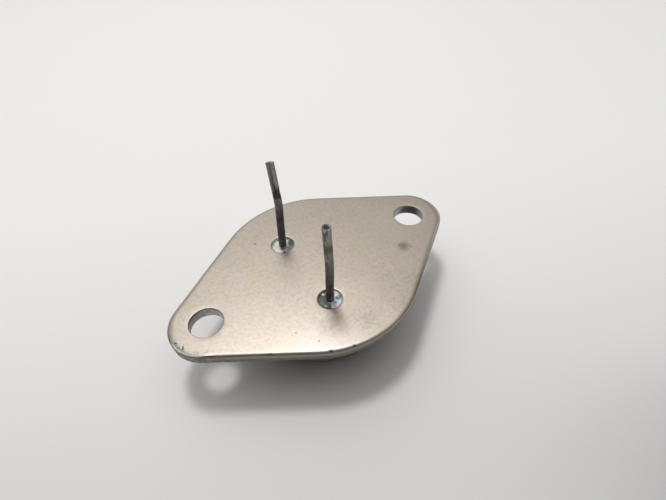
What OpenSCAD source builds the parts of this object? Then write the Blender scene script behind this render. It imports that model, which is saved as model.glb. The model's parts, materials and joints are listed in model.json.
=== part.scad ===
// Power transistor in a metal can with a two-hole diamond flange.
//
// A blanked steel header carries two wire leads, each sealed in a glass bead. A drawn steel cap is
// welded to the other side of the header, over a copper heat spreader and the silicon die.
// The part lies on the top of its cap with the leads pointing up: Z = 0 is the top of the cap, the
// seating face of the header looks up, and all that is inside the cap hangs below the header.

/* [Header] */
// Distance between the two mounting holes
hole_spacing = 30.15; // [28:0.05:36]
// Diameter of each mounting hole
hole_d = 3.95; // [3:0.05:4.6]
// Radius of the wide middle of the plate
middle_r = 12.7; // [12:0.05:14]
// Radius of each end, about its mounting hole
end_r = 4.35; // [3.6:0.05:6]
// Thickness of the plate
header_t = 1.5; // [1:0.05:3]
// Radius rolled over the edge of each hole
hole_roll_r = 0.12; // [0.05:0.01:0.2]

/* [Cap] */
// Height of the cap, from its top to the header
cap_h = 6.7; // [5.5:0.1:10]
// Outside diameter of the drawn body
cap_d = 19.5; // [18:0.1:19.6]
// Thickness of the drawn sheet
cap_wall = 0.6; // [0.3:0.05:0.9]
// Outside radius of the corner round the top
cap_corner_r = 1.5; // [1.1:0.1:3]
// Outside diameter of the brim that is welded to the header
brim_d = 21; // [20.8:0.1:22]
// Radius of the corner where the body meets the brim
brim_root_r = 0.3; // [0.1:0.05:0.4]

/* [Leads] */
// Wire diameter of the leads
lead_d = 0.98; // [0.8:0.02:1.2]
// Distance between the two leads
lead_spacing = 10.92; // [10:0.02:12]
// Distance from the middle of the plate to the line of the leads
lead_offset = 1.815; // [0:0.005:3]
// Length of the base lead above the seating face
base_lead_len = 11.7; // [8:0.1:16]
// Lean of the base lead
base_lean = 0.8; // [0.6:0.1:3]
// Direction of that lean, round Z
base_lean_way = -125; // [-180:5:180]
// Length of the emitter lead above the seating face, measured along the wire
emitter_lead_len = 12.2; // [10:0.1:16]
// Height of the bend in the emitter lead above the seating face
knee_z = 6.9; // [3:0.1:8]
// Lean of the emitter lead below the bend
lean = 2.7; // [2:0.1:4]
// Direction of that lean, round Z
lean_way = -25; // [-180:5:180]
// Tilt of the emitter lead above the bend
knee = 16; // [5:1:30]
// Direction of that tilt, round Z
knee_way = 80; // [-180:5:180]
// Length of each lead inside the cap
post_len = 1.8; // [1.4:0.1:3]
// Diameter of the flat head on the inner end of each lead
head_d = 2; // [1.8:0.1:2.6]
// Thickness of that head
head_t = 0.35; // [0.2:0.05:0.5]

/* [Glass seals] */
// Diameter of each glass bead, and of its hole in the header
seal_d = 2.9; // [2.6:0.1:3.6]
// Depth of the hollow between the lead and the rim of the bead
meniscus = 0.25; // [0.1:0.01:0.3]

/* [Die and heat spreader] */
// Length of the copper heat spreader, along X
spreader_l = 10; // [7:0.5:12]
// Width of the heat spreader, along Y
spreader_w = 6.8; // [5.5:0.1:7]
// Thickness of the heat spreader
spreader_t = 1; // [0.6:0.1:1.3]
// Distance from the middle of the plate to the middle of the heat spreader
spreader_x = 1.9; // [0:0.1:2.5]
// Thickness of the braze that holds the heat spreader
braze_t = 0.06; // [0.04:0.01:0.1]
// Length of each side of the square die
die_w = 4.6; // [4:0.1:5.2]
// Thickness of the die
die_t = 0.26; // [0.2:0.02:0.4]
// Distance from the middle of the plate to the middle of the die
die_x = 1.4; // [0.5:0.1:2]
// Thickness of the solder under the die
solder_t = 0.07; // [0.04:0.01:0.12]

/* [Bond wires] */
// Diameter of the wire from the base lead to the die
base_wire_d = 0.3; // [0.2:0.02:0.4]
// Diameter of the wire from the emitter lead to the die
emitter_wire_d = 0.5; // [0.3:0.02:0.5]
// Length of the flattened foot at each end of a wire
foot_l = 0.7; // [0.5:0.05:0.8]
// Angle at which a wire leaves each foot
rise = 40; // [30:5:50]

/* [Hidden] */
$fn = 72;

header_z = cap_h;                            // inner face of the header, where the cap is welded
seat_z = header_z + header_t;                // seating face
half_span = hole_spacing / 2;
lead_x = -lead_offset;
lead_y = lead_spacing / 2;
lead_r = lead_d / 2;
seal_r = seal_d / 2;
post_z = header_z - post_len;                // end of each lead inside the cap
buried = post_len + header_t;                // from there to the seating face
upright = 0.3;                               // each lead stands straight until it is clear of the glass
spreader_z = header_z - braze_t - spreader_t; // free face of the heat spreader
spreader_corner_r = 1;
run_out = 0.2;
die_z = spreader_z - solder_t - die_t;       // free face of the die
// The straight flanks touch the middle disc and the end discs where their radius makes this angle with X.
flank_a = acos((middle_r - end_r) / half_span);

module blank() {
    normal = [cos(flank_a), sin(flank_a)];
    p = normal * middle_r;
    q = [half_span, 0] + normal * end_r;
    cylinder(r = middle_r, h = header_t);
    for (side = [-1, 1]) translate([side * half_span, 0, 0]) cylinder(r = end_r, h = header_t);
    linear_extrude(header_t)
        polygon([p, q, [q[0], -q[1]], [p[0], -p[1]], -p, -q, [-q[0], q[1]], [-p[0], p[1]]]);
}

// What is cut away for a round hole whose edge is rolled over at the seating face.
module hole(d) {
    translate([0, 0, -1]) cylinder(d = d, h = header_t + 2);
    rotate_extrude() difference() {
        translate([0, header_t - hole_roll_r]) square([d / 2 + hole_roll_r, hole_roll_r + 1]);
        translate([d / 2 + hole_roll_r, header_t - hole_roll_r]) circle(hole_roll_r);
    }
}

module header() {
    color("tan") translate([0, 0, header_z]) difference() {
        blank();
        for (side = [-1, 1]) {
            translate([side * half_span, 0, 0]) hole(hole_d);
            translate([lead_x, side * lead_y, 0]) hole(seal_d);
        }
    }
}

// Half section of a cup with a rounded corner, open upwards.
module cup_section(radius, height, corner) {
    translate([0, corner]) square([radius, height - corner]);
    square([radius - corner, corner]);
    translate([radius - corner, corner]) circle(corner);
}

module cap() {
    body_r = cap_d / 2;
    root = brim_root_r + cap_wall;           // the sheet's far side turns with this radius
    color("silver") rotate_extrude() difference() {
        union() {
            cup_section(body_r, cap_h, cap_corner_r);
            translate([0, cap_h - cap_wall]) square([brim_d / 2, cap_wall]);
            difference() {
                translate([0, cap_h - root]) square([body_r + brim_root_r, root]);
                translate([body_r + brim_root_r, cap_h - root]) circle(brim_root_r);
            }
        }
        translate([0, cap_wall])
            cup_section(body_r - cap_wall, cap_h, cap_corner_r - cap_wall);
        difference() {
            translate([0, cap_h - root]) square([body_r + brim_root_r, root + 1]);
            translate([body_r + brim_root_r, cap_h - root]) circle(root);
        }
    }
}

function heading(tilt, way) = [sin(tilt) * cos(way), sin(tilt) * sin(way), cos(tilt)];
function unit(v) = v / norm(v);

// A round wire that goes from one run to the next, from the origin, with a slight ball on each bend.
module bent_wire(d, runs, i = 0) {
    run = runs[i];
    flat = norm([run[0], run[1]]);
    rotate([0, atan2(flat, run[2]), atan2(run[1], run[0])]) cylinder(d = d, h = norm(run));
    if (i + 1 < len(runs)) translate(run) {
        sphere(d = 1.03 * d);
        bent_wire(d, runs, i + 1);
    }
}

// A lead with its inner end headed; side is -1 for the base and 1 for the emitter.
module lead(side, runs) {
    color("dimgray") translate([lead_x, side * lead_y, post_z]) {
        cylinder(d = head_d, h = head_t);
        bent_wire(lead_d, runs);
    }
}

module base_lead() {
    lead(-1, [
        [0, 0, buried + upright],
        heading(base_lean, base_lean_way) * (base_lead_len - upright)
    ]);
}

module emitter_lead() {
    step = 0.5;                              // length of each short run round the bend
    lower = heading(lean, lean_way);
    upper = heading(knee, knee_way);
    low_run = knee_z / cos(lean) - upright - step;
    lead(1, [
        [0, 0, buried + upright],
        lower * low_run,
        unit(2 * lower + upper) * step,
        unit(lower + 2 * upper) * step,
        upper * (emitter_lead_len - upright - low_run - 2 * step)
    ]);
}

// Glass bead round a lead, hollowed on both faces and level with the foot of the hole's rolled edge.
module seal(side) {
    top = header_t - hole_roll_r;
    half = (seal_r - lead_r) / 2;            // half the width of the ring of glass
    hollow_r = (half * half + meniscus * meniscus) / (2 * meniscus);
    color("seagreen") translate([lead_x, side * lead_y, header_z])
        rotate_extrude() difference() {
            translate([lead_r, 0]) square([2 * half, top]);
            for (y = [meniscus - hollow_r, top - meniscus + hollow_r])
                translate([lead_r + half, y]) circle(hollow_r);
        }
}

module base_seal() seal(-1);
module emitter_seal() seal(1);

module rounded_plate(l, w, t, corner_r) {
    linear_extrude(t) {
        square([l, w - 2 * corner_r], center = true);
        square([l - 2 * corner_r, w], center = true);
        for (x = [-1, 1], y = [-1, 1])
            translate([x * (l / 2 - corner_r), y * (w / 2 - corner_r)]) circle(corner_r);
    }
}

module heat_spreader() {
    color("peru") translate([spreader_x, 0, spreader_z])
        rounded_plate(spreader_l, spreader_w, spreader_t, spreader_corner_r);
}

// The braze and the solder each run out a little past the piece that they hold.
module spreader_braze() {
    color("gold") translate([spreader_x, 0, header_z - braze_t])
        rounded_plate(spreader_l + 2 * run_out, spreader_w + 2 * run_out, braze_t,
            spreader_corner_r + run_out);
}

module die_solder() {
    color("lightgray") translate([die_x, 0, spreader_z - solder_t])
        rounded_plate(die_w + 2 * run_out, die_w + 2 * run_out, solder_t, 2 * run_out);
}

module die() {
    color("slategray") translate([die_x - die_w / 2, -die_w / 2, die_z]) cube([die_w, die_w, die_t]);
}

// A wire looped from the head of a lead to the die, with a flattened foot on each. Its origin is the
// middle of the head's face, with X towards the die.
module bond_wire(side, d) {
    start = [lead_x, side * lead_y];
    stop = [die_x, side * die_w / 4];
    span = norm(stop - start);
    step = die_z - post_z;                   // the die's face stands this far above the head's
    chord = norm([span, step]);
    loop_r = chord / 2 / sin(rise);
    past = 2 * d / loop_r * 180 / PI;        // the loop is cut off level with the faces it lands on
    foot_w = 1.4 * d;
    foot_h = 0.4 * d;
    color("whitesmoke") translate([start[0], start[1], post_z])
        rotate(atan2(stop[1] - start[1], stop[0] - start[0])) {
            difference() {
                rotate([0, -atan2(step, span), 0])
                    translate([chord / 2, 0, loop_r * cos(rise)])
                        rotate([90, 0, 0]) rotate(-90 - rise - past)
                            rotate_extrude(angle = 2 * (rise + past))
                                translate([loop_r, 0]) circle(d = d);
                translate([-span / 2, -span / 2, 0]) cube([span, span, span]);
                translate([span / 2, -span / 2, step]) cube([span, span, span]);
            }
            for (end = [[0, 0], [span, step]])
                translate([end[0] - foot_l / 2, -foot_w / 2, end[1] - foot_h])
                    cube([foot_l, foot_w, foot_h]);
        }
}

module base_wire() bond_wire(-1, base_wire_d);
module emitter_wire() bond_wire(1, emitter_wire_d);

header();
cap();
base_seal();
emitter_seal();
base_lead();
emitter_lead();
spreader_braze();
heat_spreader();
die_solder();
die();
base_wire();
emitter_wire();
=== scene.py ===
# Power transistor in a metal can with a diamond flange, lying on the top of its can, leads up.
import json
import math

import bmesh
import bpy
import numpy as np
from mathutils import Matrix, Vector
from mathutils.geometry import delaunay_2d_cdt


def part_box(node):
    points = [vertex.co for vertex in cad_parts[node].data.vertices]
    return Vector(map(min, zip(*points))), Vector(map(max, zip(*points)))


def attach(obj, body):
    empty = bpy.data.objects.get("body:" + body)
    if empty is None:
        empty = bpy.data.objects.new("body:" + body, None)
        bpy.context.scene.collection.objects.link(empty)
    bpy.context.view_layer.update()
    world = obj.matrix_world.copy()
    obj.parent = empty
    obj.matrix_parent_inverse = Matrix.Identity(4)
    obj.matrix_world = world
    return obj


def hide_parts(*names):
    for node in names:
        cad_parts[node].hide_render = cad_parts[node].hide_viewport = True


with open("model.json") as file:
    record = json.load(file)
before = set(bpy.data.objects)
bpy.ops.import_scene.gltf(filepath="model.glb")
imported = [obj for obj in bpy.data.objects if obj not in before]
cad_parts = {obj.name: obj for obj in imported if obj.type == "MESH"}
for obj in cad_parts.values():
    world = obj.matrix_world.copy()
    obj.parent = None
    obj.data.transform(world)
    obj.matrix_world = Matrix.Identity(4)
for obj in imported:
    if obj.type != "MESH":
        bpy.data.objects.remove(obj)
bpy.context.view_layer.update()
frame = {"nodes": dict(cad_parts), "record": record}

mm = 0.001                                  # every shape below is worked out in millimetres
tau = 2 * math.pi
mounts = {mount["name"]: mount for mount in frame["record"]["mounts"]}


def nodeBox(node):
    # The two far corners of a CAD node, in millimetres.
    low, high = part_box(node)
    return np.array(low) / mm, np.array(high) / mm


def mountPoint(name):
    return np.array(mounts[name]["pos_m"]) / mm


def leadEnd(name):
    # The middle of a lead's straight outer run, its direction, and the tip.
    pin, along = mountPoint(name), np.array(mounts[name]["axis"])
    return pin, along, pin + along * (mounts[name]["dims"]["length_mm"] / 2)


plateLow, plateHigh = nodeBox("header")
capLow, capHigh = nodeBox("cap")
sealLow, sealHigh = nodeBox("base_seal")
seatZ, innerZ = plateHigh[2], plateLow[2]   # seating face, and the face that the can is welded to
middleR = plateHigh[1]                      # wide middle of the plate
halfSpan = mountPoint("hole_plus_x")[0]
endR = plateHigh[0] - halfSpan
holeR = mounts["hole_plus_x"]["dims"]["r_mm"]
sealR = (sealHigh[0] - sealLow[0]) / 2
leadX = (sealHigh[0] + sealLow[0]) / 2
leadY = -(sealHigh[1] + sealLow[1]) / 2
wireR = mounts["base_lead"]["dims"]["r_mm"]


def toRight(x, y):
    # how far a place lies to the right, as the camera sees it
    return x * 0.82 - y * 0.57


# Meshes

weldWithin = 0.0005                         # points closer than this, in millimetres, become one
sharpFrom = 40                              # degrees between faces, from which their edge is drawn sharp


def cosines(seed, count, low, high):
    # A set of plane waves with random headings, lengths and phases, for uneven surfaces.
    draw = np.random.default_rng(seed)
    heading = draw.normal(size=(count, 3))
    heading /= np.linalg.norm(heading, axis=1)[:, None]
    pitch = low * (high / low) ** draw.random(count)
    return heading * (tau / pitch)[:, None], draw.random(count) * tau


def uneven(points, seed, low, high, count=24):
    # Sum of cosines of (wave . point + phase), scaled to about -1 to 1; low and high are wave lengths.
    waves, phases = cosines(seed, count, low, high)
    return np.cos(points @ waves.T + phases).sum(-1) / math.sqrt(count)


def gridFaces(rows, columns):
    # The four corners of each cell of a grid, by their place in its rows laid end to end.
    index = np.arange(rows * columns).reshape(rows, columns)
    return np.stack([index[:-1, :-1], index[1:, :-1], index[1:, 1:], index[:-1, 1:]], -1).reshape(-1, 4)


def linked(name, data):
    # A new object in the scene, with its place left at the origin.
    made = bpy.data.objects.new(name, data)
    bpy.context.scene.collection.objects.link(made)
    return made


def makePiece(name, patches, material, replaced=()):
    # Joins patches, each a grid of points or a pair of points and triangles, into one closed skin.
    points, faces, first = [], [], 0
    for patch in patches:
        if isinstance(patch, tuple):
            spots, corners = patch
        else:
            spots, corners = patch.reshape(-1, 3), gridFaces(*patch.shape[:2])
        points.append(spots)
        faces += (corners + first).tolist()
        first += len(spots)
    mesh = bpy.data.meshes.new(name)
    mesh.from_pydata((np.concatenate(points) * mm).tolist(), [], faces)
    shape = bmesh.new()
    shape.from_mesh(mesh)
    bmesh.ops.remove_doubles(shape, verts=shape.verts, dist=weldWithin * mm)
    bmesh.ops.recalc_face_normals(shape, faces=shape.faces)
    openEdges = sum(not edge.is_manifold for edge in shape.edges)
    shape.to_mesh(mesh)
    shape.free()
    mesh.shade_smooth()
    mesh.set_sharp_from_angle(angle=math.radians(sharpFrom))
    mesh.materials.append(material)
    piece = linked(name, mesh)
    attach(piece, "root")
    if replaced:
        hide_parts(*replaced)
    print(f"{name}: {len(mesh.polygons)} faces, {openEdges} open edges")


def turned(radius, height, steps, centre=(0, 0)):
    # A profile turned about a vertical axis: (r cos a, r sin a, z).
    angle = np.linspace(0, tau, steps + 1)
    angle[-1] = 0
    return np.stack([
        centre[0] + radius[:, None] * np.cos(angle),
        centre[1] + radius[:, None] * np.sin(angle),
        height[:, None] + 0 * angle,
    ], -1)


def wrapped(x, y, z):
    # Points from three coordinates, each a number or an array: (x, y, z).
    return np.stack(np.broadcast_arrays(x, y, z), -1)


# Shader maths

class Value:
    # One socket; arithmetic on it adds Math nodes.
    def __init__(self, paint, socket):
        self.paint, self.socket = paint, socket

    def math(self, operation, *others):
        return self.paint.node("Math", {"operation": operation}, dict(enumerate((self, *others))))

    def __add__(self, other):
        return self.math("ADD", other)

    def __sub__(self, other):
        return self.math("SUBTRACT", other)

    def __rsub__(self, other):
        return self * -1 + other

    def __mul__(self, other):
        return self.math("MULTIPLY", other)

    def __gt__(self, other):
        return self.math("GREATER_THAN", other)

    __radd__, __rmul__ = __add__, __mul__


class Paint:
    # A material or world under construction; where is the place on the piece, in millimetres.
    def __init__(self, name, owner=None):
        self.owner = owner or bpy.data.materials.new(name)
        self.owner.use_nodes = True
        self.tree = self.owner.node_tree
        self.tree.nodes.clear()
        self.where = self.node("Mapping", {}, {
            "Vector": self.node("TexCoord", output="Object"), "Scale": (1 / mm,) * 3})

    def node(self, kind, settings={}, sockets={}, output=0):
        made = self.tree.nodes.new("ShaderNode" + kind)
        for key, value in settings.items():
            setattr(made, key, value)
        for key, value in sockets.items():
            if isinstance(value, Value):
                self.tree.links.new(value.socket, made.inputs[key])
            else:
                made.inputs[key].default_value = value
        return Value(self, made.outputs[output]) if len(made.outputs) else None

    def axis(self, name):
        return self.node("SeparateXYZ", {}, {"Vector": self.where}, name)

    def stretched(self, x, y, z):
        return self.node("Mapping", {}, {"Vector": self.where, "Scale": (x, y, z)})

    def noise(self, scale, detail=2, rough=0.5, bend=0, at=None):
        return self.node("TexNoise", {}, {
            "Vector": at or self.where, "Scale": scale, "Detail": detail,
            "Roughness": rough, "Distortion": bend})

    def ease(self, value, low, high, start=0, end=1):
        # start below low, end above high, and a smooth step between
        return self.node("MapRange", {"interpolation_type": "SMOOTHSTEP"}, {
            "Value": value, "From Min": low, "From Max": high, "To Min": start, "To Max": end})

    def gap(self, point):
        return self.node("VectorMath", {"operation": "DISTANCE"}, {0: self.where, 1: tuple(point)}, "Value")

    def near(self, point, radius, soft=0.5):
        # 1 at a point and 0 beyond radius
        return self.ease(self.gap(point), radius * (1 - soft), radius, 1, 0)

    def mix(self, share, first, second):
        # colours: first where share is 0, second where it is 1
        first, second = ((*c, 1) if isinstance(c, tuple) else c for c in (first, second))
        return self.node("Mix", {"data_type": "RGBA"}, {0: share, 6: first, 7: second}, 2)

    def layers(self, tone, *pairs):
        # lays colours over a tone, one after another, each by its own share
        for share, colour in pairs:
            tone = self.mix(share, tone, colour)
        return tone

    def finish(self, bump, depth, **sockets):
        # bump is a height from 0 to 1, and depth its size in millimetres
        values = {key.replace("_", " "): value for key, value in sockets.items()}
        values["Normal"] = self.node("Bump", {}, {"Height": bump, "Distance": depth * mm, "Strength": 1})
        self.node("OutputMaterial", {}, {"Surface": self.node("BsdfPrincipled", {}, values)})
        return self.owner


# Camera, floor and light

view = {
    "aim": (2.91, 0.73),                    # where the camera looks, on the seating face
    "distance": 58.4,                       # millimetres from there
    "azimuth": -33.23,                      # degrees round Z, from the -Y side
    "elevation": 46.6,
    "roll": 2.31,
    "lens": 24.53,                          # millimetres, for the sensor's width below
    "sensor": 36,
    "nearest": 1,                           # millimetres from which the camera sees
}


def aimed(right, back, place):
    # The place of a camera or lamp whose axes are right, back x right, and back.
    matrix = Matrix.Identity(4)
    matrix.col[0].xyz, matrix.col[1].xyz, matrix.col[2].xyz = right, np.cross(back, right), back
    matrix.translation = np.array(place) * mm
    return matrix


def makeCamera():
    azimuth, elevation = math.radians(view["azimuth"]), math.radians(view["elevation"])
    back = np.array([
        math.sin(azimuth) * math.cos(elevation),
        -math.cos(azimuth) * math.cos(elevation),
        math.sin(elevation)])
    level = np.cross([0, 0, 1], back)
    level /= np.linalg.norm(level)
    roll = math.radians(view["roll"])
    right = level * math.cos(roll) - np.cross(back, level) * math.sin(roll)
    camera = linked("camera", bpy.data.cameras.new("camera"))
    camera.data.lens = view["lens"]
    camera.data.sensor_width = view["sensor"]
    camera.data.clip_start = view["nearest"] * mm
    camera.matrix_world = aimed(right, back, np.array([*view["aim"], seatZ]) + back * view["distance"])
    bpy.context.scene.camera = camera
    bpy.context.scene.view_settings.view_transform = "Standard"


lamp = {
    "place": (28, 113, 379),
    "target": (0, 0, 0),
    "width": 78,
    "power": 0.58,
    "colour": (1.0, 0.985, 0.97),
}
room = {
    "colour": (1.0, 0.99, 0.975),
    # soft panels of light round the part: heading, height and spread in degrees, and brightness. The
    # brightnesses come from a least-squares fit, with five of them changed afterwards.
    "panels": (
        (0, 90, 45, 0.50), (-30, 60, 32, 0.68), (30, 60, 32, 0.47), (90, 60, 32, 0.89), (150, 60, 32, 0.63),
        (60, 30, 30, 0.60), (105, 30, 30, 0.58), (150, 30, 30, 0.10),
        (30, 6, 28, 0.18), (60, 6, 28, 0.55), (90, 6, 28, 0.61), (120, 6, 28, 0.22), (-60, 6, 28, 0.52),
    ),
    # pale walls fill the dark between the panels: brightness at the floor, and the sine of where they end
    "walls": 0.22,
    "wallsTop": 0.6,
}


def makeLights():
    light = bpy.data.lights.new("lamp", "AREA")
    light.shape, light.size = "DISK", lamp["width"] * mm
    light.energy, light.color = lamp["power"], lamp["colour"]
    back = np.array(lamp["place"], float) - lamp["target"]
    back /= np.linalg.norm(back)
    side = np.cross([0, 1, 0], back)
    side /= np.linalg.norm(side)
    linked("lamp", light).matrix_world = aimed(side, back, lamp["place"])

    world = bpy.data.worlds.new("room")
    paint = Paint("room", world)
    look = paint.node("TexCoord", output="Generated")
    bright = 0
    for heading, height, spread, power in room["panels"]:
        turn, rise = math.radians(heading), math.radians(height)
        way = (math.cos(turn) * math.cos(rise), math.sin(turn) * math.cos(rise), math.sin(rise))
        facing = paint.node("VectorMath", {"operation": "DOT_PRODUCT"}, {0: look, 1: way}, "Value")
        bright = paint.ease(facing, math.cos(math.radians(spread)), 1) * power + bright
    above = paint.node("SeparateXYZ", {}, {"Vector": look}, "Z")
    bright = bright.math("MAXIMUM", paint.ease(above, 0, room["wallsTop"], room["walls"], 0))
    paint.node("OutputWorld", {}, {"Surface": paint.node("Background", {}, {
        "Color": (*room["colour"], 1), "Strength": bright})})
    bpy.context.scene.world = world


paper = {
    "pale": (0.870, 0.870, 0.865),
    "dull": (0.655, 0.655, 0.655),          # the near end, where less light reaches it
    "away": (0.4, 0.9),                     # heading in which it grows pale
    "dullOver": (-45, 30),                  # millimetres along that heading, from the part
    "corner": (0.36, 0.36, 0.365),          # the near corners, painted duller still as shade
    "cornerRight": (10, 62),                # millimetres to the right and to the left of the part
    "cornerLeft": (22, 66),
    "cornerOver": (-33, -11),               # and along the heading
    "cloud": (0.80, 0.80, 0.83),
    "fibre": (0.62, 0.62, 0.61),
    "reach": 2500,                          # half its width
}


def makeFloor():
    paint = Paint("paleFloor")
    x, y = paint.axis("X"), paint.axis("Y")
    away, side = x * paper["away"][0] + y * paper["away"][1], toRight(x, y)
    # painted shade: the floor's colour darkens towards the near end, and more in the near corners, where
    # less light falls
    corner = paint.ease(side, *paper["cornerRight"]) + paint.ease(side * -1, *paper["cornerLeft"])
    colour = paint.mix(paint.ease(away, *paper["dullOver"]), paper["dull"], paper["pale"])
    colour = paint.layers(
        colour,
        (corner * paint.ease(away, *paper["cornerOver"], 1, 0), paper["corner"]),
        (paint.noise(0.05, 2, 0.5) * 0.05, paper["cloud"]),
        (paint.noise(1.1, 4, 0.7) * 0.05, paper["fibre"]))
    material = paint.finish(
        paint.noise(1.2, 4, 0.6), 0.02, Base_Color=colour, Roughness=0.75, Specular_IOR_Level=0.2)
    mesh = bpy.data.meshes.new("floor")
    reach = paper["reach"] * mm
    mesh.from_pydata([(-reach, -reach, 0), (reach, -reach, 0), (reach, reach, 0), (-reach, reach, 0)],
                     [], [(0, 1, 2, 3)])
    mesh.materials.append(material)
    linked("floor", mesh)


makeCamera()
makeLights()
makeFloor()
print("camera, light and floor")

# Flange

flange = {
    "rollWidth": 0.38,                      # how far in the edge starts to fall away
    "rollMore": 0.50,                       # and how much farther round each end
    "rollTurn": 0.35,                       # how far round the wide places are turned, in radians
    "rollDepth": 0.25,                      # how far it falls in all
    "rollFall": (0.62, 0.76),               # share of that depth, and what a millimetre of width adds
    "holeRoll": (0.09, 0.10),               # width and depth of the roll round each hole
    "sealRoll": (0.17, 0.10),
    "breakAt": 0.55,                        # share of the thickness that the punch cut clean
    "breakStep": 0.035,                     # how far in the torn part stands
    "bevel": 0.14,                          # tumbled under edge
    "torn": (0.01, 0.55, 0.010),            # the torn half: its two heights, and how uneven it is
    "lip": (-18.4, -2.6, 8.15, 3.0, 0.07),  # burr left along the rolled edge: where, how long and how high
    "lipRidge": (0.11, 0.06),               # how far in it stands, and its half width
    "waves": 0.006,                         # how uneven the seating face is
    # nicks in the edge: where, how wide and how deep
    "nicks": (
        (-19.0, -0.55, 8.15, 0.30, 0.04), (-18.5, -1.5, 8.17, 0.30, 0.03), (-19.3, -1.4, 8.0, 0.35, 0.05),
        (-11.2, -7.8, 8.05, 0.28, 0.05), (-5.7, -11.2, 8.05, 0.32, 0.06), (-3.3, -12.1, 8.05, 0.27, 0.05),
        (7.5, -10.6, 8.05, 0.35, 0.06), (12.0, 7.4, 8.1, 0.40, 0.05), (-13.5, 6.2, 8.1, 0.35, 0.05)),
    # marks on the seating face: where, how wide and how dark
    "pits": (
        (-4.71, 7.70, 0.22, 0.8), (-6.07, -9.48, 0.20, 0.8), (-7.56, -7.15, 0.22, 0.5),
        (11.35, -4.75, 0.30, 0.4), (2.20, -5.13, 0.25, 0.35), (-6.28, -1.01, 0.22, 0.35),
        (-18.98, -0.48, 0.18, 1.0), (-18.84, -0.62, 0.16, 1.0), (-18.72, -0.78, 0.14, 0.7),
        (-18.27, -1.22, 0.14, 0.7), (-18.42, -1.47, 0.20, 1.0), (-18.55, -1.70, 0.26, 1.0),
        (-19.25, -1.4, 0.3, 0.7), (-5.7, -11.3, 0.28, 0.6), (-3.3, -12.2, 0.24, 0.7),
        (-11.2, -7.9, 0.24, 0.6), (10.6, -4.1, 0.9, 0.35)),
    "smudges": (
        (10.6, -4.1, 1.3, 0.42), (3.94, -11.17, 2.6, 0.10), (-0.22, -10.03, 2.6, 0.18),
        (-3.6, -8.6, 2.4, 0.14)),
    "stain": (-2.6, -8.0, 1.5),             # rust brown, below the base lead
    # painted light: paler patches standing in for the highlight along the front edge and for brighter light
    # at the left end and at the right: middle, width, how much, and its tone
    "polish": (
        (-7.0, -12.0, 8, 0.45, (0.462, 0.442, 0.435)), (-16.5, -4.0, 8, 0.08, (0.44, 0.39, 0.365)),
        (14.0, -1.0, 11, 0.45, (0.45, 0.395, 0.34))),
    # painted shade along the top of the left mounting hole's far wall, and a darker patch on the far wall of
    # the right one: middle and width
    "leftStain": ((-16.3, 1.6, 8.0), 1.3),
    "rightStain": ((16.5, 1.35, 7.4), 1.9),
}


def outline(steps=110):
    # Centre, radius and heading of the diamond's edge: two end arcs, two middle arcs, and the
    # straight flanks that touch them. A point is centre + (radius - inset) * heading.
    lean = math.acos((middleR - endR) / halfSpan)
    stops = [
        (halfSpan, endR, -lean), (halfSpan, endR, lean), (0, middleR, lean), (0, middleR, math.pi - lean),
        (-halfSpan, endR, math.pi - lean), (-halfSpan, endR, math.pi + lean),
        (0, middleR, math.pi + lean), (0, middleR, tau - lean), (halfSpan, endR, tau - lean)]
    legs = [np.linspace(a, b, steps, endpoint=False) for a, b in zip(stops[:-1], stops[1:])]
    path = np.concatenate(legs + [np.array(stops[:1])])
    return path[:, 0], path[:, 1], path[:, 2]


def edgeProfile(rollWidth, rollDepth, rollSteps=20, wallSteps=12):
    # Distance in from the wall and height above the inner face, from the top face round a rolled
    # edge (a quarter ellipse), down the cut wall, past the step where it broke, to the under face.
    turn = np.linspace(0, math.pi / 2, rollSteps)
    thick = seatZ - innerZ
    wall = np.linspace(1 - rollDepth / thick, flange["bevel"] / thick, wallSteps)[1:]
    torn = np.clip((1 - flange["breakAt"] - wall) / 0.12, 0, 1) * flange["breakStep"]
    bevel = flange["bevel"] * np.array([[0.25, 0.75, 1.3], [0.45, 0.1, 0]])
    inset = np.concatenate([rollWidth * (1 - np.sin(turn)), torn, flange["breakStep"] + bevel[0], [0.5]])
    height = np.concatenate([thick - rollDepth * (1 - np.cos(turn)), wall * thick, bevel[1], [0]])
    return inset, height


def dip(patch, place, width):
    # 1 at a place, and 1 - (distance / width)^2 round it, down to 0
    return np.clip(1 - (np.linalg.norm(patch - place, axis=-1) / width) ** 2, 0, 1)


def rimPatch():
    # The edge profile carried round the outline: centre + reach * heading, at seatZ - fall. The roll
    # is widest round the ends. The lip lifts points, and the torn half and the nicks move them in.
    centre, radius, angle = outline()
    thick, roll = seatZ - innerZ, flange["rollDepth"]
    inset, height = edgeProfile(1, roll)
    rolled = (height > thick - roll)[:, None]
    more = flange["rollMore"] * np.abs(np.cos(angle + flange["rollTurn"])) ** 3
    reach = radius - inset[:, None] * np.where(rolled, flange["rollWidth"] + more, 1)
    share, steeper = flange["rollFall"]
    fall = (thick - height)[:, None] * np.where(rolled, share + steeper * more, 1)
    patch = wrapped(centre + reach * np.cos(angle), reach * np.sin(angle), seatZ - fall)
    *place, length, lift = flange["lip"]
    standsIn, halfWidth = flange["lipRidge"]
    ridge = np.exp(-((radius - reach - standsIn) / halfWidth) ** 2) * rolled
    patch[..., 2] += lift * ridge * dip(patch, place, length)
    tornFrom, tornTo, ragged = flange["torn"]
    torn = ((height < tornTo) & (height > tornFrom))[:, None]
    out = uneven(patch, 3, 0.15, 1.2) * ragged * torn
    for *place, width, depth in flange["nicks"]:
        out -= depth * dip(patch, place, width) ** 2
    patch += out[..., None] * wrapped(np.cos(angle), np.sin(angle), 0)
    patch[..., 2] -= np.clip(-out - 0.02, 0, 1) * 0.8       # a deep nick also presses the edge down
    patch[:, -1] = patch[:, 0]
    return patch


def holePatch(x, y, radius, roll):
    # The edge profile turned about the hole's axis, with the wall at its radius.
    gap, height = edgeProfile(*roll, rollSteps=9)
    return turned(radius + gap, innerZ + height, 96, (x, y))


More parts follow.
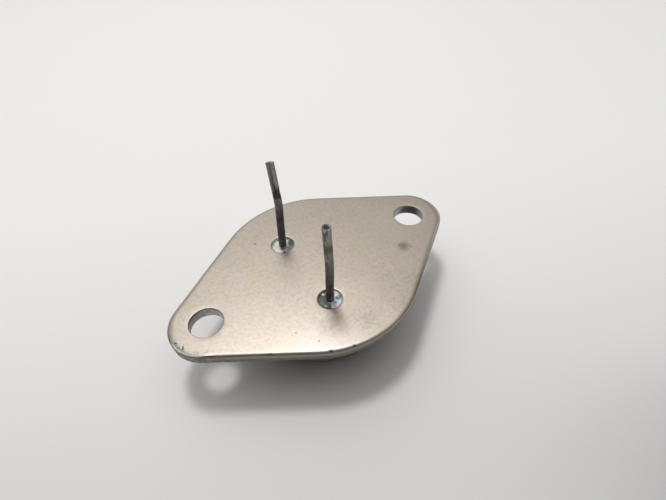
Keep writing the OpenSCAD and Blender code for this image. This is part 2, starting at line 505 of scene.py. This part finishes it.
def fill(loops, z, spacing):
    # Triangles between the outer loop and the holes, with a net of points inside.
    edges, first = [], 0
    for loop in loops:
        count = np.arange(len(loop))
        edges += np.stack([first + count, first + np.roll(count, -1)], -1).tolist()
        first += len(loop)
    border = np.concatenate(loops)
    reach = np.abs(loops[0]).max(0)
    net = np.stack(np.meshgrid(*(np.arange(-r, r, spacing) for r in reach)), -1).reshape(-1, 2)
    clear = np.sqrt(((net[:, None] - border[None]) ** 2).sum(-1)).min(1) > spacing * 0.5
    within = 1                              # the triangulation keeps what the outer loop holds
    spots, _, triangles, *_ = delaunay_2d_cdt(
        np.concatenate([border, net[clear]]).tolist(), edges, [], within, 1e-7)
    spots, triangles = np.array(spots), np.array(triangles)
    middles = spots[triangles].mean(1)
    kept = np.ones(len(middles), bool)
    for loop in loops[1:]:
        centre = loop.mean(0)
        clearance = np.linalg.norm(loop - centre, axis=1).min()
        kept &= np.linalg.norm(middles - centre, axis=1) > clearance * 0.999
    return wrapped(spots[:, 0], spots[:, 1], z), triangles[kept]


def makeFlange():
    # The rim, the four holes and the two faces between them, closed into one skin.
    holes = [(side * halfSpan, 0, holeR, flange["holeRoll"]) for side in (-1, 1)]
    holes += [(leadX, side * leadY, sealR, flange["sealRoll"]) for side in (-1, 1)]
    patches = [rimPatch()] + [holePatch(*hole) for hole in holes]
    above = fill([p[0, :-1, :2] for p in patches], seatZ, 0.6)
    below = fill([p[-1, :-1, :2] for p in patches], innerZ, 1.2)
    patches += [above, below]
    # gentle waves that grow from nothing on the under face to their full height on the seating face
    for patch in patches:
        spots = patch[0] if isinstance(patch, tuple) else patch
        share = (spots[..., 2] - innerZ) / (seatZ - innerZ)
        spots[..., 2] += flange["waves"] * share * uneven(spots * [1, 1, 0], 8, 6, 16)
    makePiece("flange", patches, nickelPlate(), ["header"])


nickel = {
    "clouds": ((0.378, 0.328, 0.298), (0.366, 0.330, 0.274)),   # pinkish and straw, drifting together
    "blotch": (0.25, 0.23, 0.19),
    "grain": (0.20, 0.175, 0.145),
    "darkSpeck": (0.15, 0.13, 0.11),
    "paleSpeck": (0.52, 0.47, 0.41),
    "scuff": (0.22, 0.195, 0.155),
    # painted shade on the rolled edge, and a painted highlight on it
    "rolledEdge": (0.28, 0.265, 0.22),
    "wornEdge": (0.62, 0.57, 0.54),
    "pit": (0.035, 0.03, 0.03),
    "smudge": (0.13, 0.115, 0.10),
    "rust": (0.26, 0.17, 0.10),
    # a painted shade band and a painted highlight along the burr, at the scuffed end
    "bruise": (0.17, 0.18, 0.16),
    "burr": (0.86, 0.87, 0.84),
    "grime": (0.055, 0.047, 0.045),         # the dark line under the rolled edge, painted shade
    # the cut walls, where their grain or streaks are low and where they are high
    "cut": ((0.46, 0.40, 0.36), (0.28, 0.245, 0.22)),
    "torn": ((0.28, 0.24, 0.22), (0.15, 0.125, 0.12)),
    "scarred": ((0.34, 0.33, 0.27), (0.17, 0.16, 0.13)),
    "holeShaded": ((0.52, 0.55, 0.56), (0.88, 0.88, 0.86)),
    "holeLit": ((0.37, 0.38, 0.39), (0.74, 0.74, 0.72)),
    # painted highlight on the walls round the beads
    "sealHole": (0.68, 0.67, 0.60),
    "leftStain": (0.12, 0.085, 0.07),
    "rightStain": (0.10, 0.085, 0.105),
    # where each shows, in millimetres: between no trace of it and its full strength
    "edgeUnder": (0.07, 0.010),             # the rolled edge, under the seating face
    "wallUnder": (0.30, 0.12),              # the cut wall
    "grimeUnder": ((0.35, 0.28), (0.22, 0.14)),     # the painted shade line: its lower side, and its upper side
    "tornOver": (0.62, 0.80),               # the torn half, over the inner face
    "holeWall": (0.1, 0.2),                 # round each mounting hole
    "sealWall": (0.2, 0.3),                 # round each bead of glass
    "scuffedRight": (4, 9),                 # to the right of the middle
    "wornRight": (12, 15.5),
}


def underSeat(depths):
    # heights at these depths under the seating face
    return [seatZ - depth for depth in depths]


def plating(paint, grain, fine, blotch, scuffs):
    # Warm clouds, then blotches, grain and specks, with scuffs on the right, and patches of painted light.
    cloud = paint.noise(0.28, 3, 0.6, 0.4, at=paint.stretched(1, 1, 0))
    scuffed = paint.ease(toRight(paint.axis("X"), paint.axis("Y")), *nickel["scuffedRight"])
    tone = paint.layers(
        paint.mix(paint.ease(cloud, 0.35, 0.65), *nickel["clouds"]),
        (paint.ease(blotch, 0.45, 0.75) * 0.16, nickel["blotch"]),
        (paint.ease(grain, 0.40, 0.64) * (0.32 - scuffed * 0.08), nickel["grain"]),
        (paint.ease(fine, 0.58, 0.70) * 0.16, nickel["darkSpeck"]),
        (paint.ease(fine, 0.28, 0.40, 1, 0) * 0.13, nickel["paleSpeck"]),
        (scuffed * paint.ease(scuffs, 0.44, 0.62) * 0.20, nickel["scuff"]))
    # painted light: paler patches that stand in for highlights on the plating
    for *place, width, share, litTone in flange["polish"]:
        tone = paint.mix(paint.near((*place, seatZ), width, 1) * share, tone, litTone)
    return tone


def marks(paint, tone, grain, blotch):
    # Pits, smudges and the stain, each strongest in its middle.
    for *place, width, dark in flange["pits"]:
        tone = paint.mix(paint.near((*place, seatZ - 0.08), width, 0.7) * dark, tone, nickel["pit"])
    for *place, width, dark in flange["smudges"]:
        haze = paint.near((*place, seatZ), width, 0.95) * paint.ease(grain + blotch, 0.7, 1.2)
        tone = paint.mix(haze * (2 * dark), tone, nickel["smudge"])
    *place, width = flange["stain"]
    return paint.mix(paint.near((*place, seatZ), width, 0.9) * blotch * 0.5, tone, nickel["rust"])


def cutMetal(paint, grain, scuffs, torn, line, bore, seat):
    # The walls: cut clean above and torn below, scarred at the left end, and brushed in the holes,
    # which are paler where they face the light. Round the beads the walls are painted pale as a highlight;
    # the left hole's wall gets a painted shade line at its top, and the right hole's far wall is darker.
    x = paint.axis("X")
    brushed = paint.noise(3, 3, 0.7, at=paint.stretched(0.3, 0.3, 2))
    streaks = paint.ease(brushed, 0.35, 0.65)
    lit = paint.ease(x - x.math("SIGN") * halfSpan, -1.8, -0.3)
    hole = paint.mix(lit, paint.mix(streaks, *nickel["holeShaded"]), paint.mix(streaks, *nickel["holeLit"]))
    scars = paint.mix(paint.ease(scuffs, 0.40, 0.60), *nickel["scarred"])
    left, right = flange["leftStain"], flange["rightStain"]
    return paint.layers(
        paint.mix(grain, *nickel["cut"]),
        (torn * 0.8, paint.mix(grain, *nickel["torn"])),
        (paint.ease(x, -13, -17) * 0.75, scars),
        (bore, hole),
        (seat, nickel["sealHole"]),
        (paint.near(*left, 0.6) * line * 0.9, nickel["leftStain"]),
        (paint.near(*right, 0.6) * 0.9, nickel["rightStain"]))


def nickelPlate():
    paint = Paint("satinNickel")
    x, y, z = (paint.axis(name) for name in "XYZ")
    blotch = paint.noise(0.8, 4, 0.65, 0.5)
    grain = paint.noise(2.2, 5, 0.75)
    fine = paint.noise(11, 2, 0.6)
    scuffs = paint.noise(2.0, 2, 0.5)
    # how far a place is from the nearer mounting hole's axis, from the edge there, and from the nearer lead
    arm = x.math("ABSOLUTE") - halfSpan
    fromAxis = (arm * arm + y * y).math("SQRT")
    inset = fromAxis * -1 + endR
    beside, beyond = x - leadX, y.math("ABSOLUTE") - leadY
    fromLead = (beside * beside + beyond * beyond).math("SQRT")
    bore = paint.ease(fromAxis, *(holeR + gap for gap in nickel["holeWall"]), 1, 0)
    seat = paint.ease(fromLead, *(sealR + gap for gap in nickel["sealWall"]), 1, 0)
    # the rolled edge: painted shade on the left, and a painted highlight at the right end and round the
    # beads
    rolled = paint.ease(z, *underSeat(nickel["edgeUnder"]), 1, 0)
    paleShare = rolled * (paint.ease(toRight(x, y), *nickel["wornRight"]) * 0.7 + seat * 0.5)
    tone = paint.layers(
        plating(paint, grain, fine, blotch, scuffs),
        (rolled * paint.ease(x, -12, 2, 0.6, 0.1), nickel["rolledEdge"]),
        (paleShare, nickel["wornEdge"]))
    # the scuffed end: a painted shade band in the rolled edge, and a painted highlight along the burr beyond
    # it
    lipEnd = paint.near(flange["lip"][:3], flange["lip"][3], 0.6)
    band = lipEnd * paint.ease(inset, 0.12, 0.20) * paint.ease(inset, 0.35, 0.75, 1, 0)
    burr = lipEnd * paint.ease(inset, 0.0, 0.04) * paint.ease(inset, 0.11, 0.18, 1, 0)
    burr = burr * paint.ease(blotch, 0.30, 0.45)
    # the cut walls: a painted shade line under the rolled edge, the clean cut, then the torn half
    height = z + (blotch - 0.5) * 0.12
    wall = paint.ease(height, *underSeat(nickel["wallUnder"]), 1, 0)
    torn = paint.ease(height, *(innerZ + over for over in nickel["tornOver"]), 1, 0)
    lower, upper = nickel["grimeUnder"]
    line = paint.ease(height, *underSeat(upper), 1, 0) * paint.ease(height, *underSeat(lower))
    shadeLineShare = paint.ease(blotch, 0.15, 0.50) * paint.ease(x, -10, 4, 1.0, 0.15) + lipEnd
    tone = paint.layers(
        marks(paint, tone, grain, blotch),
        (band * paint.ease(grain, 0.30, 0.55) * 0.75, nickel["bruise"]),
        (burr, nickel["burr"]),
        (wall, cutMetal(paint, grain, scuffs, torn, line, bore, seat)),
        (line * (1 - bore) * (1 - seat) * (1 - paleShare) * shadeLineShare, nickel["grime"]))
    return paint.finish(
        grain * 0.5 + fine * 0.3 + blotch * 0.5, 0.007, Base_Color=tone,
        Metallic=1 - burr * 0.8 - paleShare * 0.7 - wall * bore * 0.75 - wall * seat * 0.7,
        Roughness=0.39 + grain * 0.05 + wall * 0.08 + torn * 0.06)


makeFlange()

# Can

can = {
    "bodyR": 9.75,
    "wall": 0.6,
    "cornerR": 1.5,
    "rootR": 0.3,
    "brimEdgeR": 0.15,
    "waves": 0.012,                         # how uneven the drawn wall is
    "beadR": 0.13,                          # metal squeezed out of the weld round the brim
    "sheet": ((0.44, 0.39, 0.33), (0.40, 0.37, 0.31)),
    "grain": (0.28, 0.24, 0.20),
    "rubbed": (0.58, 0.55, 0.50),
    "straw": (0.36, 0.27, 0.16),            # tint next to the weld
    "weld": ((0.16, 0.13, 0.11), (0.38, 0.33, 0.27)),
}


def arc(x, z, radius, start, end, steps=12):
    # Part of a circle, between two angles in degrees: (x + r cos a, z + r sin a).
    angle = np.radians(np.linspace(start, end, steps))
    return np.stack([x + radius * np.cos(angle), z + radius * np.sin(angle)], 1)


def makeCan():
    # The drawn cup's half section, from the middle of its flat top, out and up to the brim, and
    # back inside; the flat top lies at the lowest height. Turned about Z, its wall then shrinks by
    # a slight wave.
    body, wall, corner, root = can["bodyR"], can["wall"], can["cornerR"], can["rootR"]
    brimR, brimZ, top, lip = capHigh[0], innerZ - wall, capLow[2], can["brimEdgeR"]
    flat = np.stack([np.linspace(0, body - corner, 24), np.full(24, top)], 1)
    side = np.stack([np.full(12, body), np.linspace(top + corner, brimZ - root, 12)], 1)
    section = np.concatenate([
        flat[:-1],
        arc(body - corner, top + corner, corner, -90, 0, 16),
        side[1:-1],
        arc(body + root, brimZ - root, root, 180, 90, 8),
        arc(brimR - lip, brimZ + lip, lip, -90, 0, 6),
        [(brimR, innerZ)],
        arc(body + root, innerZ - root - wall, root + wall, 90, 180, 8),
        arc(body - corner, top + corner, corner - wall, 0, -90, 10),
        [(0, top + wall)],
    ])
    grid = turned(section[:, 0], section[:, 1], 160)
    spin = np.hypot(grid[..., 0], grid[..., 1])
    wave = can["waves"] * uneven(grid, 21, 4, 12) * np.clip((spin - 6) / 3, 0, 1) * (spin < body + 0.01)
    wave *= np.clip((grid[..., 2] - top) / 1.5, 0, 1) * np.clip((brimZ - grid[..., 2]) / 1.5, 0, 1)
    wave[:, -1] = wave[:, 0]
    grid[..., :2] *= (1 - np.abs(wave) / body)[..., None]
    makePiece("can", [grid], drawnSheet(), ["cap"])


def makeBead():
    # What the weld squeezed out, as a flattened ring whose thickness varies round it:
    # (r + t cos b) round Z, at height + 0.8 t sin b.
    around, section = np.linspace(0, tau, 241), np.linspace(0, tau, 11)
    around[-1] = section[-1] = 0
    brimR = capHigh[0]
    ring = np.stack([brimR * np.cos(around), brimR * np.sin(around), 0 * around + innerZ], 1)
    thick = can["beadR"] * (1 + 0.35 * uneven(ring, 5, 0.5, 3))
    thick[-1] = thick[0]
    reach = brimR + 0.02 + thick * np.cos(section)[:, None]
    height = innerZ - 0.05 + 0.8 * thick * np.sin(section)[:, None]
    bead = wrapped(reach * np.cos(around), reach * np.sin(around), np.minimum(height, innerZ - 0.002))
    makePiece("weldBead", [bead], scorchedWeld())


def drawnSheet():
    paint = Paint("drawnNickelSheet")
    z = paint.axis("Z")
    draw = paint.noise(5, 3, 0.6, at=paint.stretched(1.2, 1.2, 0.12))   # faint lines up the wall
    cloud = paint.noise(0.2, 3, 0.55)
    grain = paint.noise(9, 2, 0.6)
    scuff = paint.noise(1.1, 5, 0.7, 1.2)
    rub = paint.ease(scuff, 0.56, 0.64) * paint.ease(z, 0.05, 0.6, 1, 0)
    heat = paint.ease(z, innerZ - 1.1, innerZ - 0.5)
    tone = paint.layers(
        paint.mix(cloud, *can["sheet"]),
        (grain * 0.18, can["grain"]),
        (rub * 0.5, can["rubbed"]),
        (heat * cloud * 0.5, can["straw"]))
    return paint.finish(
        draw * 0.5 + grain * 0.5, 0.008, Base_Color=tone, Metallic=1.0,
        Roughness=0.34 + grain * 0.10 + draw * 0.08 - rub * 0.06)


def scorchedWeld():
    paint = Paint("scorchedWeld")
    lumps = paint.noise(4, 3, 0.6)
    return paint.finish(
        lumps, 0.02, Base_Color=paint.mix(lumps, *can["weld"]), Metallic=1.0, Roughness=0.45 + lumps * 0.2)


makeCan()
makeBead()

# Leads

wire = {
    "headR": 1.0,                           # nail head on the inner end
    "headT": 0.35,
    "upright": 0.3,                         # straight above the glass before it leans
    "footBend": 0.25,                       # half the length of that bend
    "bendLength": 1.5,                      # how long the upper bend takes
    "roughness": 0.010,                     # how uneven the drawn wire is
    # the cut end, from its rim to near its middle: share of the radius, and height from the tip
    "cutEnd": ((1.0, -0.06), (0.96, -0.012), (0.90, 0), (0.72, -0.10), (0.3, -0.17)),
    "cutMiddle": -0.18,
    "cutFrom": 0.12,                        # how far below the tip the round wire gives way to it
    "speck": (0.035, 0.033, 0.035),
    "rubbed": (0.55, 0.54, 0.52),
    "cutRim": (0.55, 0.54, 0.50),
    "cutFace": (0.020, 0.016, 0.014),
}
leads = {
    "base_lead": {
        "side": -1,
        "seed": 31,
        "bendZ": None,
        "bow": (0.11, -35),                 # how far and which way it bows
        "dents": (),
        "cut": (0, 0),                      # how far the cut end leans, and which way
        "rubbed": 0.35,                     # how much of one side is painted bright as a highlight stripe
        # lower down, its lighter patches, and a paler tone in streaks higher up
        "tones": ((0.128, 0.110, 0.132), (0.20, 0.187, 0.18), (0.50, 0.485, 0.385)),
        "bands": ((8.6, 0.14),),            # height of each band, and its shade
    },
    "emitter_lead": {
        "side": 1,
        "seed": 37,
        "bendZ": 6.9,                       # height of the bend above the seating face
        "bow": (0.05, 145),
        # press marks: height along the lead, heading round it, depth, length and width
        "dents": ((7.4, -130, 0.07, 0.9, 0.5), (8.4, 10, 0.06, 0.6, 0.5), (12.0, -120, -0.05, 0.3, 1.5)),
        "cut": (0.025, 200),
        "rubbed": 1.0,
        "tones": ((0.130, 0.113, 0.138), (0.19, 0.175, 0.19), (0.33, 0.325, 0.32)),
        # painted shade just above the bend, and a painted highlight band at it
        "bands": ((8.1, 0.065), (6.8, 0.28)),
    },
}


def leadPath(name):
    # Straight runs through the glass, to the bend and to the tip, with each corner rounded as a
    # quadratic curve; returns points a fixed step apart and the length along them.
    look = leads[name]
    pin, along, tip = leadEnd(name)
    foot = np.array([leadX, look["side"] * leadY, seatZ + wire["upright"]])
    corners = [np.array([*foot[:2], nodeBox(name)[0][2]]), foot]
    if look["bendZ"]:
        corners.append(pin + along * (seatZ + look["bendZ"] - pin[2]) / along[2])
    corners.append(tip)
    runs, last = [], corners[0]
    reaches = wire["footBend"], wire["bendLength"] / 2
    for before, corner, after, reach in zip(corners, corners[1:], corners[2:], reaches):
        start = corner + (before - corner) / np.linalg.norm(before - corner) * reach
        end = corner + (after - corner) / np.linalg.norm(after - corner) * reach
        t = np.linspace(0, 1, 16)[:, None]
        bend = (1 - t) ** 2 * start + 2 * t * (1 - t) * corner + t * t * end
        runs += [np.linspace(last, start, 60)[:-1], bend]
        last = end
    runs.append(np.linspace(last, tip, 60)[1:])
    rough = np.concatenate(runs)
    length = np.concatenate([[0], np.linalg.norm(np.diff(rough, axis=0), axis=1).cumsum()])
    even = np.linspace(0, length[-1], int(length[-1] / 0.07))
    path = np.stack([np.interp(even, length, rough[:, k]) for k in range(3)], 1)
    size, way = look["bow"]
    above = np.clip((path[:, 2] - foot[2]) / (tip[2] - foot[2]), 0, 1)
    path[:, 0] += size * math.cos(math.radians(way)) * np.sin(math.pi * above) ** 2
    path[:, 1] += size * math.sin(math.radians(way)) * np.sin(math.pi * above) ** 2
    return path, even


def sweep(path, radius):
    # Circles carried along a path: point + radius * (side cos a + across sin a). radius may vary
    # along the path and round it.
    heading = np.gradient(path, axis=0)
    heading /= np.linalg.norm(heading, axis=1)[:, None]
    side = np.cross([0.0, 1.0, 0.0], heading)
    side /= np.linalg.norm(side, axis=1)[:, None]
    across = np.cross(heading, side)
    angle = np.linspace(0, tau, radius.shape[1])
    angle[-1] = 0
    spokes = side[:, None] * np.cos(angle)[:, None] + across[:, None] * np.sin(angle)[:, None]
    return path[:, None] + radius[..., None] * spokes, heading


def makeLead(name):
    # A swept wire with a nail head, whose radius is roughened and dented, and its cut end.
    look = leads[name]
    path, length = leadPath(name)
    angle = np.linspace(0, tau, 41)
    angle[-1] = 0
    tube, heading = sweep(path, np.full((len(path), 41), wireR))
    clear = np.clip((path[:, 2] - seatZ - 0.2) / 0.4, 0, 1)[:, None]
    radius = wireR * (1 + wire["roughness"] * clear * uneven(tube, look["seed"], 0.5, 2.5))
    radius = np.where(length[:, None] < wire["headT"], wire["headR"], radius)
    for height, way, depth, long, wide in look["dents"]:
        # a shallow mark: depth * exp(-2 (gap^2 + turn^2)), in lengths and widths from its middle
        gap = (path[:, 2] - seatZ - height)[:, None] / long
        turn = ((angle - math.radians(way) + math.pi) % tau - math.pi) * wireR / wide
        radius = radius - depth * np.exp(-gap ** 2 * 2 - turn ** 2 * 2)
    tube, heading = sweep(path, radius)
    tube[0] = tube[0].mean(0) + (tube[0] - tube[0].mean(0)) * 0.97
    # the cut end: a narrow chamfer, then a face that dips towards its middle
    tip, up = path[-1], heading[-1]
    spokes = tube[-1] - tip
    lean = look["cut"][0] * np.cos(angle - math.radians(look["cut"][1]))
    ends = []
    for share, rise in wire["cutEnd"]:
        ends.append(tip + spokes * share + up * (rise + lean * share)[:, None])
    ends.append(np.broadcast_to(tip + up * wire["cutMiddle"], spokes.shape))
    tube = tube[path[:, 2] < tip[2] - wire["cutFrom"]]
    start = np.broadcast_to(path[0], spokes.shape)
    skin = np.concatenate([start[None], tube, np.array(ends)])
    makePiece(name + "Wire", [skin], tarnishedWire(name), [name])


def tarnishedWire(name):
    paint = Paint(name + "Tarnish")
    look = leads[name]
    pin, along, tip = leadEnd(name)
    z = paint.axis("Z")
    streak = paint.noise(3.0, 4, 0.7, at=paint.stretched(1.4, 1.4, 0.30))
    speck = paint.noise(7, 3, 0.7)
    patches = paint.noise(0.9, 4, 0.6, 0.6)
    dark, mid, pale = look["tones"]
    # a paler tone in streaks, higher up the lead
    paleShare = paint.ease(z + patches * 3, seatZ + 3.5, seatZ + 10)
    paleShare = paleShare * paint.ease(streak + speck * 0.5, 0.62, 0.92)
    # a painted highlight stripe on the side facing right, near the end
    across = paint.axis("X") - (z - pin[2]) * (along[0] / along[2]) - pin[0]
    over = paint.axis("Y") - (z - pin[2]) * (along[1] / along[2]) - pin[1]
    facing = toRight(across, over)
    rubbed = paint.ease(z, tip[2] - 5.2, tip[2] - 4.2) * paint.ease(facing, 0.02, 0.22)
    rubbed = rubbed * paint.ease(facing, 0.32, 0.46, 1, 0) * look["rubbed"]
    tone = paint.layers(
        paint.mix(paint.ease(patches, 0.35, 0.65), dark, mid),
        (paleShare, pale),
        (paint.ease(speck, 0.54, 0.64) * 0.65, wire["speck"]),
        (rubbed * paint.ease(streak, 0.30, 0.50), wire["rubbed"]))
    # bands across the lead: on the emitter, painted shade just above the bend and a painted highlight at the
    # bend
    for height, shade in look["bands"]:
        off = z + over * 0.8 + (patches - 0.5) * 2.5 - seatZ - height
        band = paint.ease(off.math("ABSOLUTE"), 0.1, 0.8, 1, 0)
        tone = paint.mix(band * paint.ease(speck + streak, 0.6, 1.1), tone, (shade,) * 3)
    # the sheared end: dark in the middle, bright where the metal is torn round its rim
    gap = paint.gap(tip)
    end = paint.ease(gap + speck * 0.15, wireR * 0.72, wireR * 0.98, 1, 0)
    rim = paint.ease(gap, wireR * 0.62, wireR * 0.85) * paint.ease(gap, wireR * 1.1, wireR * 1.6, 1, 0)
    tone = paint.layers(
        tone,
        (rim * paint.ease(speck + streak * 0.5, 0.70, 0.90) * 0.7, wire["cutRim"]),
        (end * 0.95, wire["cutFace"]))
    return paint.finish(
        streak * 0.5 + speck * 0.5, 0.03, Base_Color=tone, Metallic=0.75 - end * 0.6,
        Roughness=0.42 + speck * 0.2 + end * 0.3)


for lead in leads:
    makeLead(lead)

# Glass seals

glass = {
    "climb": 0.05,                          # how far the glass wets up the lead
    "hollow": 0.16,                         # depth of the meniscus
    "sink": 0.14,                           # how much lower it meets its hole
    "uneven": 0.05,
    "intoWire": 0.98,                       # it starts a little inside the wire, so that no gap shows
    "greenRim": (0.030, 0.050, 0.028),
    "paleRim": (0.36, 0.36, 0.31),
    "darkSeed": (0.06, 0.072, 0.066),       # dark specks through the whole bead, and pale specks painted as small glints
    "paleSeed": (0.80, 0.83, 0.84),
}
# Of each bead: how much its face tilts and which way, the heading of its pale side, where that side starts
# and ends across it, how dark its rim is, the tones of the pale side (partly milky glass, partly a painted
# reflection) and of the clear glass, and its spots, dark ones in the glass and pale ones painted as glints:
# place beside the lead, size and tone.
beads = {
    "base_seal": {
        "side": -1,
        "seed": 41,
        "tilt": (0.1, 130),
        "heading": -30,
        "cloudy": (-0.3, 0.3),
        "rim": 0.8,
        "cloud": (0.70, 0.73, 0.76),
        "clear": (0.038, 0.064, 0.036),
        "bubbles": (
            (1.02, -0.19, 0.56, (0.012, 0.055, 0.045)), (0.60, 0.35, 0.25, (0.85, 0.88, 0.90)),
            (-0.25, 1.10, 0.30, (0.60, 0.60, 0.57)), (-0.70, 0.35, 0.60, (0.065, 0.09, 0.06)),
            (-0.70, -0.75, 0.50, (0.04, 0.055, 0.045)), (-0.96, -0.43, 0.24, (0.60, 0.65, 0.60)),
            (-0.42, -0.85, 0.20, (0.72, 0.76, 0.78)), (-0.15, -1.05, 0.22, (0.05, 0.06, 0.07))),
    },
    "emitter_seal": {
        "side": 1,
        "seed": 43,
        "tilt": (0.1, -40),
        "heading": 155,
        "cloudy": (-0.9, 0.0),
        "rim": 0.15,
        "cloud": (0.72, 0.74, 0.69),
        "clear": (0.15, 0.165, 0.15),
        "bubbles": (
            (0.90, 0.45, 0.30, (0.60, 0.60, 0.68)), (0.65, 0.05, 0.32, (0.60, 0.60, 0.68)),
            (0.42, -0.35, 0.28, (0.50, 0.51, 0.56)), (-0.32, -0.50, 0.40, (0.09, 0.11, 0.08)),
            (-0.45, -1.15, 0.45, (0.14, 0.16, 0.09)), (1.15, -0.25, 0.70, (0.06, 0.07, 0.063))),
    },
}


def makeSeal(name):
    # Ring of glass between the lead and its hole. Its free face is a hollow that rises to both:
    # height = level - hollow * (1 - u^2), with u from -1 at the lead to 1 at the hole.
    look, (low, high) = beads[name], nodeBox(name)
    centre = leadX, look["side"] * leadY
    share = np.linspace(0, 1, 22)
    u = share * 2 - 1
    start = wireR * glass["intoWire"]
    radius = start + (sealR - start) * share
    level = high[2] + glass["climb"] * (1 - share) ** 3 - glass["sink"] * share ** 2
    free = turned(radius, level - glass["hollow"] * (1 - u ** 2), 72, centre)
    size, way = look["tilt"]
    slope = ((free[..., :2] - centre) @ [math.cos(math.radians(way)), math.sin(math.radians(way))]) * size
    swell = np.clip(1 - u ** 2, 0, 1)[:, None]
    change = swell * (glass["uneven"] * uneven(free, look["seed"], 0.8, 2.5) + slope)
    change[:, -1] = change[:, 0]
    free[..., 2] += change
    under = turned(radius[::-1], low[2] + 0.2 * (1 - u ** 2), 72, centre)
    makePiece(name + "Glass", [np.concatenate([free, under, free[:1]])], sealGlass(name), [name])


def sealGlass(name):
    paint = Paint(name + "Tint")
    look = beads[name]
    way = math.radians(look["heading"])
    x, y = paint.axis("X") - leadX, paint.axis("Y") - look["side"] * leadY
    swirl = paint.noise(1.8, 3, 0.6, 0.8)
    seed = paint.noise(4, 3, 0.6)
    # the pale side of each bead: partly milky glass and partly a painted reflection of the light, with a
    # pale rim there
    facing = x * math.cos(way) + y * math.sin(way) + swirl * 2.4 - 1.2
    cloudy = paint.ease(facing, *look["cloudy"])
    reach = (x * x + y * y).math("SQRT")
    rim = paint.ease(reach + swirl * 0.3, sealR - 0.20, sealR + 0.06)
    tone = paint.layers(
        paint.mix(cloudy, look["clear"], look["cloud"]),
        (rim * (1 - cloudy * 0.9) * look["rim"], glass["greenRim"]),
        (rim * cloudy * 0.5, glass["paleRim"]),
        (paint.ease(seed, 0.56, 0.64) * 0.7, glass["darkSeed"]),
        (paint.ease(seed, 0.30, 0.36, 1, 0) * 0.8, glass["paleSeed"]))
    # spots: dark ones in the glass, and pale ones painted as glints
    for east, north, width, spot in look["bubbles"]:
        place = leadX + east, look["side"] * leadY + north, seatZ - 0.15
        tone = paint.mix(paint.near(place, width, 0.7), tone, spot)
    return paint.finish(
        seed, 0.04, Base_Color=tone, Roughness=0.30 - cloudy * 0.18 + seed * 0.10, IOR=1.52,
        Specular_IOR_Level=0.35)


for bead in beads:
    makeSeal(bead)

# What the can hides keeps its solid and gets its own finish

metals = {
    # name, its two tones, size of the grain, roughness, and how the grain is stretched
    "heat_spreader": ("rolledCopper", (0.72, 0.36, 0.22), (0.50, 0.22, 0.12), 2.5, 0.3, (0.3, 2, 2)),
    "spreader_braze": ("silverBraze", (0.72, 0.62, 0.44), (0.52, 0.42, 0.27), 3, 0.35),
    "die_solder": ("softSolder", (0.42, 0.42, 0.43), (0.25, 0.25, 0.26), 4, 0.42),
    "base_wire": ("drawnAluminium", (0.82, 0.82, 0.83), (0.62, 0.62, 0.63), 8, 0.25),
}
silicon = {
    "shades": ((0.10, 0.11, 0.14), (0.16, 0.17, 0.20)),
    "pads": (0.62, 0.62, 0.63),
    "rim": 0.25,                            # bare margin round the pads
    "perMillimetre": 2.2,                   # teeth of the comb
}


def metalFinish(name, first, second, scale, rough, stretch=None):
    paint = Paint(name)
    grain = paint.noise(scale, 3, 0.6, at=paint.stretched(*stretch) if stretch else None)
    tone = paint.mix(grain, first, second)
    return paint.finish(grain, 0.006, Base_Color=tone, Metallic=1.0, Roughness=rough + grain * 0.15)


def siliconFinish():
    # the bare rim of the silicon, then the metal pads in a comb about the line through the middle
    paint = Paint("siliconDie")
    low, high = nodeBox("die")
    middle, half = (low + high) / 2, (high[0] - low[0]) / 2
    x, y = paint.axis("X"), paint.axis("Y")
    fromMiddle = (x - middle[0]).math("ABSOLUTE").math("MAXIMUM", (y - middle[1]).math("ABSOLUTE"))
    comb = (x * (silicon["perMillimetre"] * tau)).math("SINE") > 0.1
    pads = comb * (1 - (fromMiddle > half - silicon["rim"]))
    shade = paint.noise(3, 3, 0.6)
    tone = paint.mix(pads, paint.mix(shade, *silicon["shades"]), silicon["pads"])
    return paint.finish(
        pads * 0.8 + shade * 0.2, 0.004, Base_Color=tone, Metallic=pads * 0.9, Roughness=0.22 + shade * 0.15)


hidden = {node: metalFinish(*finish) for node, finish in metals.items()}
hidden["die"] = siliconFinish()
hidden["emitter_wire"] = hidden["base_wire"]
for node, material in hidden.items():
    slots = frame["nodes"][node].data.materials
    slots.clear()
    slots.append(material)
print("inner pieces finished")
